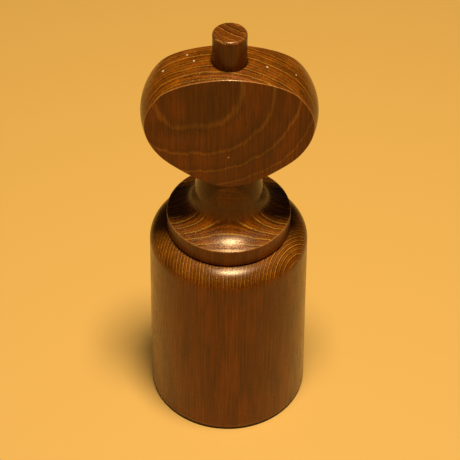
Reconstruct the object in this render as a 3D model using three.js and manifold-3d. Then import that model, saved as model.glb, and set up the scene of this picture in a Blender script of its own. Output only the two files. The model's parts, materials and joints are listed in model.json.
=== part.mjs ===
// Turned hardwood pepper mill: a round body with a conical grinder in its foot, and a one-piece head whose
// flat-sided knob is also a small salt well, closed by a wooden peg.
// Millimetres, +Z up, origin at the centre of the foot. The drive shaft is the Z axis.
import * as THREE from "three";
import { mergeVertices } from "three/addons/utils/BufferGeometryUtils.js";
import Module from "manifold-3d";

const wasm = await Module();
wasm.setup();

// ---------- driving dimensions ----------
const GAP = 0.3; // running or assembly clearance between neighbours
const TURNED_SIDES = 48; // facets round the turned wood
const METAL_SIDES = 24; // facets round the larger metal rings
const SMALL_SIDES = 12; // facets round pins, screws and bushes
const ROUND_STEPS = 8; // facets along a large round edge
const EDGE_STEPS = 4; // facets along a small round edge
const NECK_STEPS = 8; // facets along the neck's outline
const KNOB_STEPS = 20; // facets along the knob's outline
const OVERCUT = 1; // how far a cutter stands out of the piece that it cuts

// Body
const FOOT_RADIUS = 30.1;
const FOOT_CHAMFER = 1.0;
const MOUTH_CHAMFER = 0.6;
const SHOULDER_SIDE_RADIUS = 29.0;
const SHOULDER_DEPTH = 9.5; // the rounded shoulder is a quarter of an ellipse, wider than it is high
const SHOULDER_HEIGHT = 6.8;
const BODY_TOP = 82.9;
const CHAMBER_RADIUS = 17.0;

// Head
const FLANGE_RADIUS = 22.5;
const FLANGE_BOTTOM = BODY_TOP + GAP;
const FLANGE_THICKNESS = 6.9;
const EDGE_BREAK = 0.3;
const SPIGOT_DEPTH = 9.2;
const SPIGOT_BOTTOM = FLANGE_BOTTOM - SPIGOT_DEPTH;
const SPIGOT_CHAMFER = 0.8;
const NECK_TOP = { radius: 10.4, z: 110.6 };
const KNOB_TOP = 159.7;
const FLAT_HALF_THICKNESS = 10.5; // at the neck; the two flats close in slightly towards the top
const FLAT_TILT = Math.atan(0.02);

// Stopper peg and salt well
const PEG_RADIUS = 5.9;
const PEG_TOP = 170.9;
const PEG_BOTTOM = 146.0;
const PEG_TOP_ROUND = 1.1;
const PEG_FOOT_CHAMFER = 0.6;
const WELL_RADIUS = 5.0;
const WELL_BOTTOM = 118.0;

// Drive shaft and its fixing in the head
const SHAFT_SIZE = 6.0;
const SHAFT_BEVEL = 0.5;
const SHAFT_BOTTOM = 21.4;
const SHAFT_TOP = 91.0;
const FERRULE_RADIUS = 6.2;
const FERRULE_TOP = 92.0;
const PIN_RADIUS = 1.1;
const PIN_LENGTH = 11.6;
const PIN_HEIGHT = 84.0;
const HEAD_PLATE_RADIUS = 13.5;
const HEAD_PLATE_THICKNESS = 1.5;
const HEAD_SCREW_CIRCLE = 9.8;
const HEAD_PILOT_SPARE = 1.7; // depth of a pilot hole past the screw's tip

// Grinder
const GRINDER_RADIUS = 19.1;
const LEDGE_HEIGHT = 34.3; // step in the bore that the grinder stack is pushed up against
const BRIDGE_THICKNESS = 1.5;
const BRIDGE_BAR_WIDTH = 8.0;
const UPPER_BRIDGE_INNER_RADIUS = 16.2;
const UPPER_BRIDGE_HUB_RADIUS = 8.4;
const LOWER_BRIDGE_BOTTOM = 10.5;
const LOWER_BRIDGE_INNER_RADIUS = 16.6;
const LOWER_BRIDGE_HUB_RADIUS = 5.8;
const LOWER_BRIDGE_HUB_DEPTH = 1.9;
const RING_BOTTOM = 12.3;
const RING_TOP = LEDGE_HEIGHT - BRIDGE_THICKNESS - 2 * GAP;
const RING_TEETH = 24;
const RING_TOOTH_DEPTH = 0.6;
const CONE_TEETH = 14;
const CONE_TOOTH_DEPTH = 0.9;
const CONE_BOTTOM = 13.0;
const CONE_TOP = 27.0;
const CONE_WEB = 1.5; // floor between the cone's ball seat and its square socket
const SPRING_RADIUS = 5.2;
const SPRING_WIRE_RADIUS = 0.3;
const SPRING_TURNS = 2;
const WASHER_RADIUS = 7.0;
const WASHER_BOTTOM = 30.9;
const WASHER_THICKNESS = 0.8;
const BUSH_INNER_RADIUS = 4.7;
const BUSH_OUTER_RADIUS = 6.0;
const BUSH_FLANGE_RADIUS = 7.6;
const BUSH_FLANGE_THICKNESS = 1.0;

// Foot: retaining flange, its screws and the adjusting screw
const RECESS_RADIUS = 24.9;
const RECESS_DEPTH = 5.3;
const FOOT_FLANGE_THICKNESS = 1.2;
const FOOT_FLANGE_INNER_RADIUS = 15.5;
const SLEEVE_INNER_RADIUS = 17.6;
const FOOT_SCREW_CIRCLE = 22.0;
const SCREW_SHANK_RADIUS = 1.4;
const SCREW_HEAD_RADIUS = 2.3;
const SCREW_HEAD_HEIGHT = 1.3;
const SCREW_LENGTH = 11.0;
const SCREW_TIP_LENGTH = 2.5;
const SCREW_SLOT = { width: 0.7, depth: 0.6 };
const STUD_RADIUS = 3.0;
const STUD_TOP = 14.2;
const KNURL_RADIUS = 7.0;
const KNURL_BOTTOM = 1.5;
const KNURL_HEIGHT = 4.0;
const KNURL_CHAMFER = 0.5;
const KNURL_RIDGES = 30;
const KNURL_DEPTH = 0.45;
const COIN_SLOT = { width: 1.4, depth: 1.2 };
const BALL_RADIUS = 1.7;

// ---------- materials ----------
function finish(color, roughness, metalness) {
  return new THREE.MeshStandardMaterial({ color, roughness, metalness });
}
const TURNED_WOOD = finish(0x4a2a17, 0.42, 0);
const PEG_WOOD = finish(0x351c12, 0.4, 0);
const STEEL = finish(0xa7a9ab, 0.35, 1);
const BURR_STEEL = finish(0x77787a, 0.5, 1);
const BRASS = finish(0xb08a45, 0.35, 1);
const SPRING_STEEL = finish(0x8d9094, 0.3, 1);

// ---------- solids ----------
const root = new THREE.Group();

// A closed geometry as a solid that can be joined and cut.
function solid(geometry) {
  const bare = geometry.clone();
  bare.deleteAttribute("normal");
  bare.deleteAttribute("uv");
  const merged = mergeVertices(bare, 1e-4);
  const corners = merged.index.array;
  const triangles = [];
  for (let i = 0; i < corners.length; i += 3) {
    const [a, b, c] = [corners[i], corners[i + 1], corners[i + 2]];
    if (a !== b && b !== c && a !== c) triangles.push(a, b, c);
  }
  const vertProperties = merged.attributes.position.array;
  const triVerts = new Uint32Array(triangles);
  return new wasm.Manifold(new wasm.Mesh({ numProp: 3, vertProperties, triVerts }));
}

const cut = (body, ...tools) => tools.reduce((left, tool) => left.subtract(tool), body);
const join = (...bodies) => bodies.reduce((left, body) => left.add(body));

// Adds one named piece to the mill.
function addPiece(name, body, material) {
  const { vertProperties, triVerts } = body.getMesh();
  const geometry = new THREE.BufferGeometry();
  geometry.setAttribute("position", new THREE.BufferAttribute(new Float32Array(vertProperties), 3));
  geometry.setIndex(new THREE.BufferAttribute(new Uint32Array(triVerts), 1));
  geometry.computeVertexNormals();
  const mesh = new THREE.Mesh(geometry, material);
  mesh.name = name;
  root.add(mesh);
  return mesh;
}

// A turned solid: the profile lists [radius, height] pairs anticlockwise, outer side going up.
function turned(profile, sides) {
  const points = profile.map(([radius, height]) => new THREE.Vector2(radius, height));
  return solid(new THREE.LatheGeometry(points, sides).rotateX(Math.PI / 2));
}

// A turned ring: its profile closes on itself.
const turnedRing = (profile, sides) => turned([...profile, profile[0]], sides);

// A plain round bar between two heights, used as a piece or as a drill.
function roundBar(radius, bottom, top, sides = SMALL_SIDES) {
  return turned([[0, bottom], [radius, bottom], [radius, top], [0, top]], sides);
}

// A block between two heights, centred on the shaft.
function block(width, depth, bottom, top) {
  return solid(new THREE.BoxGeometry(width, depth, top - bottom).translate(0, 0, (top + bottom) / 2));
}

// Points of a quarter of an ellipse in the profile plane, from its outer side up to its top, ends included.
function quarterRound(outerRadius, top, depth, height, steps) {
  return Array.from({ length: steps + 1 }, (_, i) => {
    const angle = ((Math.PI / 2) * i) / steps;
    return [outerRadius - depth * (1 - Math.cos(angle)), top - height * (1 - Math.sin(angle))];
  });
}

// Points of a smooth curve through a few given profile points.
function smooth(through, steps) {
  const curve = new THREE.SplineCurve(through.map(([radius, height]) => new THREE.Vector2(radius, height)));
  return curve.getPoints(steps).map((point) => [point.x, point.y]);
}

// Three places spread evenly round the axis, the first one on +Y.
function threeRound(radius) {
  return [90, 210, 330].map((degrees) => {
    const angle = THREE.MathUtils.degToRad(degrees);
    return [radius * Math.cos(angle), radius * Math.sin(angle)];
  });
}

// A toothed solid: its section is a star that may turn and change size from level to level.
function toothed(levels, teeth, depth) {
  const count = teeth * 2;
  const positions = [];
  const faces = [];
  for (const { radius, z, turn } of levels) {
    for (let i = 0; i < count; i++) {
      const angle = (i * Math.PI) / teeth + turn;
      const reach = i % 2 ? radius - depth : radius;
      positions.push(reach * Math.cos(angle), reach * Math.sin(angle), z);
    }
  }
  for (let level = 0; level < levels.length - 1; level++) {
    for (let i = 0; i < count; i++) {
      const a = level * count + i;
      const b = level * count + ((i + 1) % count);
      faces.push(a, b, b + count, a, b + count, a + count);
    }
  }
  const low = positions.length / 3;
  const high = low + 1;
  const topRing = (levels.length - 1) * count;
  positions.push(0, 0, levels[0].z, 0, 0, levels.at(-1).z);
  for (let i = 0; i < count; i++) {
    const next = (i + 1) % count;
    faces.push(low, next, i, high, topRing + i, topRing + next);
  }
  const geometry = new THREE.BufferGeometry();
  geometry.setAttribute("position", new THREE.Float32BufferAttribute(positions, 3));
  geometry.setIndex(faces);
  return solid(geometry);
}

// ---------- wooden body ----------
function addBody() {
  const boreRadius = GRINDER_RADIUS + GAP;
  const profile = [
    [FOOT_RADIUS - FOOT_CHAMFER, 0],
    [FOOT_RADIUS, FOOT_CHAMFER],
    ...quarterRound(SHOULDER_SIDE_RADIUS, BODY_TOP, SHOULDER_DEPTH, SHOULDER_HEIGHT, ROUND_STEPS),
    [CHAMBER_RADIUS + MOUTH_CHAMFER, BODY_TOP],
    [CHAMBER_RADIUS, BODY_TOP - MOUTH_CHAMFER],
    [CHAMBER_RADIUS, LEDGE_HEIGHT],
    [boreRadius, LEDGE_HEIGHT],
    [boreRadius, RECESS_DEPTH],
    [RECESS_RADIUS, RECESS_DEPTH],
    [RECESS_RADIUS, MOUTH_CHAMFER],
    [RECESS_RADIUS + MOUTH_CHAMFER, 0],
  ];
  const pilotTop = RECESS_DEPTH + SCREW_LENGTH;
  const pilot = roundBar(SCREW_SHANK_RADIUS + GAP, RECESS_DEPTH - OVERCUT, pilotTop);
  const pilots = threeRound(FOOT_SCREW_CIRCLE).map(([x, y]) => pilot.translate(x, y, 0));
  addPiece("mill_body", cut(turnedRing(profile, TURNED_SIDES), ...pilots), TURNED_WOOD);
}

// ---------- wooden head: spigot, flange, neck and flat-sided knob ----------
function headProfile() {
  const spigotRadius = CHAMBER_RADIUS - GAP;
  const flangeTop = FLANGE_BOTTOM + FLANGE_THICKNESS;
  const neck = [
    [FLANGE_RADIUS - EDGE_BREAK, flangeTop],
    [19.8, 90.75],
    [17.4, 91.8],
    [15.1, 93.4],
    [13.4, 95.7],
    [12.5, 98.8],
    [12.0, 103.5],
    [NECK_TOP.radius, NECK_TOP.z],
  ];
  const knob = [
    [NECK_TOP.radius, NECK_TOP.z],
    [18.5, 117.2],
    [26.0, 124.7],
    [30.1, 133.4],
    [30.1, 142.0],
    [25.9, 150.3],
    [19.7, 154.9],
    [9.5, 158.2],
    [0, KNOB_TOP],
  ];
  return [
    [0, SPIGOT_BOTTOM],
    [spigotRadius - SPIGOT_CHAMFER, SPIGOT_BOTTOM],
    [spigotRadius, SPIGOT_BOTTOM + SPIGOT_CHAMFER],
    [spigotRadius, FLANGE_BOTTOM],
    [FLANGE_RADIUS - EDGE_BREAK, FLANGE_BOTTOM],
    [FLANGE_RADIUS, FLANGE_BOTTOM + EDGE_BREAK],
    [FLANGE_RADIUS, flangeTop - EDGE_BREAK],
    ...smooth(neck, NECK_STEPS),
    ...smooth(knob, KNOB_STEPS).slice(1),
  ];
}

// A cutter whose inner face is one flat of the knob; side is +1 for the back, -1 for the front.
function flatCutter(side) {
  const size = 120; // wider, deeper and taller than what it cuts off
  const slab = new THREE.BoxGeometry(size, size, size).translate(0, side * (size / 2), 0);
  slab.rotateX(side * FLAT_TILT);
  slab.translate(0, side * FLAT_HALF_THICKNESS, NECK_TOP.z);
  const aboveNeck = block(2 * size, 3 * size, NECK_TOP.z, NECK_TOP.z + size);
  return solid(slab).intersect(aboveNeck);
}

function addHead() {
  const socketTop = FERRULE_TOP + GAP;
  const pegSeat = PEG_BOTTOM - GAP;
  const drillStart = SPIGOT_BOTTOM - OVERCUT;
  const screwSeat = SPIGOT_BOTTOM - HEAD_PLATE_THICKNESS - 2 * GAP;
  const pilotTop = screwSeat + SCREW_LENGTH + HEAD_PILOT_SPARE;
  const pilot = roundBar(SCREW_SHANK_RADIUS + GAP, drillStart, pilotTop);
  const body = cut(
    turned(headProfile(), TURNED_SIDES),
    flatCutter(1),
    flatCutter(-1),
    roundBar(FERRULE_RADIUS + GAP, drillStart, socketTop, METAL_SIDES),
    roundBar(PEG_RADIUS + GAP, pegSeat, KNOB_TOP + OVERCUT, METAL_SIDES),
    roundBar(WELL_RADIUS, WELL_BOTTOM, pegSeat + OVERCUT, METAL_SIDES),
    ...threeRound(HEAD_SCREW_CIRCLE).map(([x, y]) => pilot.translate(x, y, 0)),
  );
  addPiece("head", body, TURNED_WOOD);
}

function addStopper() {
  const profile = [
    [0, PEG_BOTTOM],
    [PEG_RADIUS - PEG_FOOT_CHAMFER, PEG_BOTTOM],
    [PEG_RADIUS, PEG_BOTTOM + PEG_FOOT_CHAMFER],
    ...quarterRound(PEG_RADIUS, PEG_TOP, PEG_TOP_ROUND, PEG_TOP_ROUND, EDGE_STEPS),
    [0, PEG_TOP],
  ];
  addPiece("stopper_peg", turned(profile, METAL_SIDES), PEG_WOOD);
}

// ---------- drive shaft and its fixing ----------
const squareHole = (bottom, top) => block(SHAFT_SIZE + 2 * GAP, SHAFT_SIZE + 2 * GAP, bottom, top);

// A round bar lying along X at the height of the shaft pin.
function crossBar(radius, length = 2 * (FERRULE_RADIUS + OVERCUT)) {
  const lying = new THREE.CylinderGeometry(radius, radius, length, SMALL_SIDES).rotateZ(Math.PI / 2);
  return solid(lying.translate(0, 0, PIN_HEIGHT));
}

function addShaft() {
  const half = SHAFT_SIZE / 2 - SHAFT_BEVEL;
  const section = new THREE.Shape([
    new THREE.Vector2(-half, -half),
    new THREE.Vector2(half, -half),
    new THREE.Vector2(half, half),
    new THREE.Vector2(-half, half),
  ]);
  const bar = new THREE.ExtrudeGeometry(section, {
    depth: SHAFT_TOP - SHAFT_BOTTOM - 2 * SHAFT_BEVEL,
    bevelThickness: SHAFT_BEVEL,
    bevelSize: SHAFT_BEVEL,
    bevelSegments: 1,
  });
  const shaft = solid(bar.translate(0, 0, SHAFT_BOTTOM + SHAFT_BEVEL));
  addPiece("drive_shaft", cut(shaft, crossBar(PIN_RADIUS + GAP)), STEEL);
  addPiece("shaft_pin", crossBar(PIN_RADIUS, PIN_LENGTH), STEEL);
}

function addFerrule() {
  const barrel = roundBar(FERRULE_RADIUS, SPIGOT_BOTTOM, FERRULE_TOP, METAL_SIDES);
  const socket = squareHole(SPIGOT_BOTTOM - OVERCUT, FERRULE_TOP + OVERCUT);
  addPiece("drive_ferrule", cut(barrel, socket, crossBar(PIN_RADIUS + GAP)), BRASS);
}

function addHeadPlate() {
  const top = SPIGOT_BOTTOM - GAP;
  const bottom = top - HEAD_PLATE_THICKNESS;
  const hole = roundBar(SCREW_SHANK_RADIUS + GAP, bottom - OVERCUT, top + OVERCUT);
  const plate = cut(
    roundBar(HEAD_PLATE_RADIUS, bottom, top, METAL_SIDES),
    squareHole(bottom - OVERCUT, top + OVERCUT),
    ...threeRound(HEAD_SCREW_CIRCLE).map(([x, y]) => hole.translate(x, y, 0)),
  );
  addPiece("head_plate", plate, STEEL);
  addScrews("head_screw", HEAD_SCREW_CIRCLE, bottom - GAP);
}

// Three slotted pan-head screws pointing up; seat is the height of the underside of the fixed sheet.
function addScrews(name, circle, seat) {
  const shankTop = seat + SCREW_LENGTH;
  const headBottom = seat - SCREW_HEAD_HEIGHT;
  const headChamfer = SCREW_HEAD_HEIGHT / 2;
  const profile = [
    [0, headBottom],
    [SCREW_HEAD_RADIUS - headChamfer, headBottom],
    [SCREW_HEAD_RADIUS, headBottom + headChamfer],
    [SCREW_HEAD_RADIUS, seat],
    [SCREW_SHANK_RADIUS, seat],
    [SCREW_SHANK_RADIUS, shankTop - SCREW_TIP_LENGTH],
    [0, shankTop],
  ];
  const slotTop = headBottom + SCREW_SLOT.depth;
  const slot = block(2 * (SCREW_HEAD_RADIUS + OVERCUT), SCREW_SLOT.width, headBottom - OVERCUT, slotTop);
  const screw = cut(turned(profile, SMALL_SIDES), slot);
  threeRound(circle).forEach(([x, y], i) => addPiece(`${name}_${i + 1}`, screw.translate(x, y, 0), STEEL));
}

// ---------- grinder ----------
// A flat ring with a bar across it and a round hub, as both bridges are made.
function bridge(bottom, innerRadius, hubRadius, hubBottom) {
  const top = bottom + BRIDGE_THICKNESS;
  const rim = turnedRing(
    [[innerRadius, bottom], [GRINDER_RADIUS, bottom], [GRINDER_RADIUS, top], [innerRadius, top]],
    METAL_SIDES,
  );
  const bar = block(innerRadius + GRINDER_RADIUS, BRIDGE_BAR_WIDTH, bottom, top);
  return join(rim, bar, roundBar(hubRadius, hubBottom, top, METAL_SIDES));
}

function addUpperBridge() {
  const bottom = LEDGE_HEIGHT - GAP - BRIDGE_THICKNESS;
  const top = bottom + BRIDGE_THICKNESS;
  const plate = bridge(bottom, UPPER_BRIDGE_INNER_RADIUS, UPPER_BRIDGE_HUB_RADIUS, bottom);
  const bushHole = roundBar(BUSH_OUTER_RADIUS + GAP, bottom - OVERCUT, top + OVERCUT, METAL_SIDES);
  addPiece("upper_bridge", cut(plate, bushHole), STEEL);
  const flangeBottom = top + GAP;
  const flangeTop = flangeBottom + BUSH_FLANGE_THICKNESS;
  const bush = turnedRing(
    [
      [BUSH_INNER_RADIUS, bottom],
      [BUSH_OUTER_RADIUS, bottom],
      [BUSH_OUTER_RADIUS, flangeBottom],
      [BUSH_FLANGE_RADIUS, flangeBottom],
      [BUSH_FLANGE_RADIUS, flangeTop],
      [BUSH_INNER_RADIUS, flangeTop],
    ],
    METAL_SIDES,
  );
  addPiece("guide_bush", bush, BRASS);
}

// The ring burr's teeth wind down through a narrow throat; the mouths above and below it are wider.
function addGrinderRing() {
  const blank = roundBar(GRINDER_RADIUS, RING_BOTTOM, RING_TOP, METAL_SIDES);
  const outlet = { radius: 16.9, z: RING_BOTTOM - OVERCUT, turn: 0 };
  const throat = { radius: 11.6, z: 21.5, turn: 0.25 };
  const inlet = { radius: 17.0, z: RING_TOP + OVERCUT, turn: 0.45 };
  const teeth = toothed([outlet, throat, inlet], RING_TEETH, RING_TOOTH_DEPTH);
  addPiece("grinder_ring", cut(blank, teeth), BURR_STEEL);
}

// The cone burr's teeth wind the other way: steep at the finishing edge, long on the cone, steep at the neck.
function addGrinderCone() {
  const ballSeatTop = STUD_TOP + GAP + 2 * BALL_RADIUS + GAP;
  const edge = { radius: 14.6, z: CONE_BOTTOM, turn: 0 };
  const coneFoot = { radius: 13.4, z: 15.5, turn: -0.15 };
  const coneHead = { radius: 8.6, z: 23.0, turn: -0.6 };
  const neck = { radius: 7.0, z: CONE_TOP, turn: -0.85 };
  const burr = toothed([edge, coneFoot, coneHead, neck], CONE_TEETH, CONE_TOOTH_DEPTH);
  const cone = cut(
    burr,
    squareHole(ballSeatTop + CONE_WEB, CONE_TOP + OVERCUT),
    roundBar(BALL_RADIUS + GAP, CONE_BOTTOM, ballSeatTop),
    roundBar(STUD_RADIUS + 2 * GAP, CONE_BOTTOM - OVERCUT, STUD_TOP + GAP),
  );
  addPiece("grinder_cone", cone, BURR_STEEL);
}

class Helix extends THREE.Curve {
  constructor(radius, bottom, top, turns) {
    super();
    Object.assign(this, { radius, bottom, top, turns });
  }
  getPoint(t, target = new THREE.Vector3()) {
    const angle = 2 * Math.PI * this.turns * t;
    const height = this.bottom + (this.top - this.bottom) * t;
    return target.set(this.radius * Math.cos(angle), this.radius * Math.sin(angle), height);
  }
}

function addSpringAndWasher() {
  const section = new THREE.Shape().absarc(0, 0, SPRING_WIRE_RADIUS, 0, 2 * Math.PI);
  const reach = SPRING_WIRE_RADIUS + GAP;
  const path = new Helix(SPRING_RADIUS, CONE_TOP + reach, WASHER_BOTTOM - reach, SPRING_TURNS);
  const wire = new THREE.ExtrudeGeometry(section, {
    steps: 16 * SPRING_TURNS,
    curveSegments: 3,
    extrudePath: path,
  });
  addPiece("spring", solid(wire), SPRING_STEEL);
  const washerTop = WASHER_BOTTOM + WASHER_THICKNESS;
  const disc = roundBar(WASHER_RADIUS, WASHER_BOTTOM, washerTop, METAL_SIDES);
  addPiece("drive_washer", cut(disc, squareHole(WASHER_BOTTOM - OVERCUT, washerTop + OVERCUT)), STEEL);
}

// ---------- foot ----------
function addLowerBridge() {
  const hubBottom = LOWER_BRIDGE_BOTTOM - LOWER_BRIDGE_HUB_DEPTH;
  const plate = bridge(LOWER_BRIDGE_BOTTOM, LOWER_BRIDGE_INNER_RADIUS, LOWER_BRIDGE_HUB_RADIUS, hubBottom);
  const hole = roundBar(STUD_RADIUS + GAP, hubBottom - OVERCUT, RING_BOTTOM, METAL_SIDES);
  addPiece("lower_bridge", cut(plate, hole), STEEL);
}

function addFootFlange() {
  const top = RECESS_DEPTH - GAP;
  const bottom = top - FOOT_FLANGE_THICKNESS;
  const sleeveTop = LOWER_BRIDGE_BOTTOM - GAP;
  const profile = [
    [FOOT_FLANGE_INNER_RADIUS, bottom],
    [RECESS_RADIUS - GAP, bottom],
    [RECESS_RADIUS - GAP, top],
    [GRINDER_RADIUS, top],
    [GRINDER_RADIUS, sleeveTop],
    [SLEEVE_INNER_RADIUS, sleeveTop],
    [SLEEVE_INNER_RADIUS, top],
    [FOOT_FLANGE_INNER_RADIUS, top],
  ];
  const hole = roundBar(SCREW_SHANK_RADIUS + GAP, bottom - OVERCUT, top + OVERCUT);
  const holes = threeRound(FOOT_SCREW_CIRCLE).map(([x, y]) => hole.translate(x, y, 0));
  addPiece("foot_flange", cut(turnedRing(profile, METAL_SIDES), ...holes), STEEL);
  addScrews("foot_screw", FOOT_SCREW_CIRCLE, bottom - GAP);
}

function addAdjustingScrew() {
  const knurlTop = KNURL_BOTTOM + KNURL_HEIGHT;
  const knurl = toothed(
    [
      { radius: KNURL_RADIUS - KNURL_CHAMFER, z: KNURL_BOTTOM, turn: 0 },
      { radius: KNURL_RADIUS, z: KNURL_BOTTOM + KNURL_CHAMFER, turn: 0 },
      { radius: KNURL_RADIUS, z: knurlTop - KNURL_CHAMFER, turn: 0 },
      { radius: KNURL_RADIUS - KNURL_CHAMFER, z: knurlTop, turn: 0 },
    ],
    KNURL_RIDGES,
    KNURL_DEPTH,
  );
  const stud = roundBar(STUD_RADIUS, knurlTop - OVERCUT, STUD_TOP, METAL_SIDES);
  const slotTop = KNURL_BOTTOM + COIN_SLOT.depth;
  const coinSlot = block(2 * (KNURL_RADIUS + OVERCUT), COIN_SLOT.width, KNURL_BOTTOM - OVERCUT, slotTop);
  addPiece("adjusting_screw", cut(join(knurl, stud), coinSlot), BRASS);
  const ball = new THREE.SphereGeometry(BALL_RADIUS, 12, 8).rotateX(Math.PI / 2);
  addPiece("thrust_ball", solid(ball.translate(0, 0, STUD_TOP + GAP + BALL_RADIUS)), STEEL);
}

addBody();
addHead();
addStopper();
addShaft();
addFerrule();
addHeadPlate();
addUpperBridge();
addGrinderRing();
addGrinderCone();
addSpringAndWasher();
addLowerBridge();
addFootFlange();
addAdjustingScrew();

export default root;
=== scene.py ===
"""Turned wooden pepper mill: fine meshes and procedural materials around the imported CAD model.

Dimensions are in millimetres and become metres when a mesh is made. Heights and radii come from the boxes of
the CAD nodes. What a box can't say, such as the outline of the neck and the grip, is listed once below.
"""
import json
import math

import bpy
import numpy as np
from mathutils import Matrix, Vector


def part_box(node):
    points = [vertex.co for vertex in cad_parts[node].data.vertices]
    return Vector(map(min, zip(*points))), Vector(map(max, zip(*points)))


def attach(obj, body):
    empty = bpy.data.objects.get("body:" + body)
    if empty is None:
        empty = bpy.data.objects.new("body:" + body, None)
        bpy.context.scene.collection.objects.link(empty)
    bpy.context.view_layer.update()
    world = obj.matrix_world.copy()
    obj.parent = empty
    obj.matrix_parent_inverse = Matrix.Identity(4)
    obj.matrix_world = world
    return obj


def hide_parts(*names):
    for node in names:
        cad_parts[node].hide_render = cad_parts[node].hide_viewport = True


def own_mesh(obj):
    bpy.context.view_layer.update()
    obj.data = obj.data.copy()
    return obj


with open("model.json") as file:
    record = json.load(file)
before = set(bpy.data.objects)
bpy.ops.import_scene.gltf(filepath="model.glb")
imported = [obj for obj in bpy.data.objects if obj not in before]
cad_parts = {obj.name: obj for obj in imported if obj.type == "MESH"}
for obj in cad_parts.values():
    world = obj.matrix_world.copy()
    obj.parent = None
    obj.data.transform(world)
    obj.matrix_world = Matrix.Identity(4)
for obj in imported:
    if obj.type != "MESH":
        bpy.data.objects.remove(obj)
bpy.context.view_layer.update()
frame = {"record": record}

MM = 0.001
GAP = 0.3  # clearance between neighbouring pieces
FLUSH = 0.01  # two heights closer than this are the same height


def low(node):
    """Lowest corner of a CAD node, in millimetres."""
    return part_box(node)[0] / MM


def high(node):
    """Highest corner of a CAD node, in millimetres."""
    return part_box(node)[1] / MM


# ---------- dimensions taken from the frame ----------
FOOT_RADIUS = high("mill_body").x
BODY_TOP = high("mill_body").z
FLANGE_RADIUS = high("head").y
FLANGE_BOTTOM = BODY_TOP + GAP
SPIGOT_BOTTOM = low("head").z
PEG_RADIUS = high("stopper_peg").x
PEG_TOP = high("stopper_peg").z
PEG_BOTTOM = low("stopper_peg").z
GRINDER_RADIUS = high("grinder_ring").x
STUD_TOP = high("adjusting_screw").z

# ---------- dimensions shared with the CAD model ----------
SHOULDER_SIDE_RADIUS = 29.0
SHOULDER_DEPTH = 9.5
SHOULDER_HEIGHT = 6.8
FOOT_CHAMFER = 1.0
PEG_TOP_ROUND = 1.1
CHAMBER_RADIUS = 17.0
LEDGE_HEIGHT = 34.3
RECESS_RADIUS = 24.9
RECESS_DEPTH = 5.3
FLANGE_THICKNESS = 6.9
FLANGE_TOP = FLANGE_BOTTOM + FLANGE_THICKNESS
NECK_TOP = 110.6
KNOB_TOP = 159.7
# the outlines are lists of (radius, height) that a smooth curve runs through
NECK_OUTLINE = [
    (22.2, 90.1), (19.8, 90.75), (17.4, 91.8), (15.1, 93.4),
    (13.4, 95.7), (12.5, 98.8), (12.0, 103.5), (10.4, NECK_TOP),
]
KNOB_OUTLINE = [
    (10.4, NECK_TOP), (18.5, 117.2), (26.0, 124.7), (30.1, 133.4), (30.1, 142.0),
    (25.9, 150.3), (19.7, 154.9), (9.5, 158.2), (0.0, KNOB_TOP),
]
FLAT_HALF_THICKNESS = 10.5  # at the top of the neck
FLAT_TAPER = 0.02  # how much thinner that gets per mm of height
WELL_RADIUS = 5.0
WELL_BOTTOM = 118.0
SOCKET_RADIUS = 6.5
SOCKET_TOP = 92.3
SCREW_HOLE_RADIUS = 1.7
FOOT_SCREW_CIRCLE = 22.0
HEAD_SCREW_CIRCLE = 9.8
SCREW_SHANK_RADIUS = 1.4
SCREW_HEAD_RADIUS = 2.3
SCREW_HEAD_HEIGHT = 1.3
SCREW_LENGTH = 11.0
SCREW_TIP_LENGTH = 2.5
SCREW_PITCH = 1.1
SCREW_THREAD_DEPTH = 0.4
SCREW_SLOT_WIDTH = 0.7
SCREW_SLOT_DEPTH = 0.6
SHAFT_HOLE_HALF = 3.3
PIN_RADIUS = 1.1
BRIDGE_THICKNESS = 1.5
BRIDGE_BAR_WIDTH = 8.0
LOWER_BRIDGE_HUB_RADIUS = 5.8
LOWER_BRIDGE_INNER_RADIUS = 16.6
UPPER_BRIDGE_HUB_RADIUS = 8.4
UPPER_BRIDGE_INNER_RADIUS = 16.2
BUSH_INNER_RADIUS = 4.7
BUSH_OUTER_RADIUS = 6.0
BUSH_FLANGE_THICKNESS = 1.0
FOOT_FLANGE_INNER_RADIUS = 15.5
SLEEVE_INNER_RADIUS = 17.6
STUD_RADIUS = 3.0
THREAD_PITCH = 0.7
THREAD_DEPTH = 0.4
KNURL_HEIGHT = 4.0
KNURL_RIDGES = 30
KNURL_DEPTH = 0.45
COIN_SLOT_WIDTH = 1.4
COIN_SLOT_DEPTH = 1.2
BALL_RADIUS = 1.7
CONE_WEB = 1.5
CONE_TEETH = 14
CONE_TOOTH_DEPTH = 0.9
CONE_BREAKS = (15.5, 23.0)  # heights at which the cone's slope changes
CONE_RADII = (14.6, 13.4, 8.6, 7.0)  # at its foot, at the two breaks and at its top
CONE_TWIST = (0, -0.15, -0.6, -0.85)  # turn of the teeth at the same heights, in radians
RING_TEETH = 24
RING_TOOTH_DEPTH = 0.6
RING_FACE_RADIUS = 17.6  # where the end faces of the grinder ring begin
RING_WAIST_HEIGHT = 21.5
RING_RADII = (16.9, 11.6, 17.0)  # below the ring's foot, at its waist and above its top
RING_TWIST = (0, 0.25, 0.45)
SPRING_WIRE_RADIUS = 0.3
SPRING_TURNS = 2


# ---------- profiles ----------
def catmull_rom(points, steps):
    """Points of the smooth curve through the given points, the same curve that the CAD outline follows."""
    pts = np.array(points, float)
    out = []
    for i in range(len(pts) - 1):
        p0, p1 = pts[max(i - 1, 0)], pts[i]
        p2, p3 = pts[i + 1], pts[min(i + 2, len(pts) - 1)]
        v0, v1 = (p2 - p0) / 2, (p3 - p1) / 2
        cubic = 2 * p1 - 2 * p2 + v0 + v1
        squared = -3 * p1 + 3 * p2 - 2 * v0 - v1
        for t in np.arange(steps) / steps:
            out.append(cubic * t**3 + squared * t**2 + v0 * t + p1)
    out.append(pts[-1])
    return np.array(out)


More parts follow.
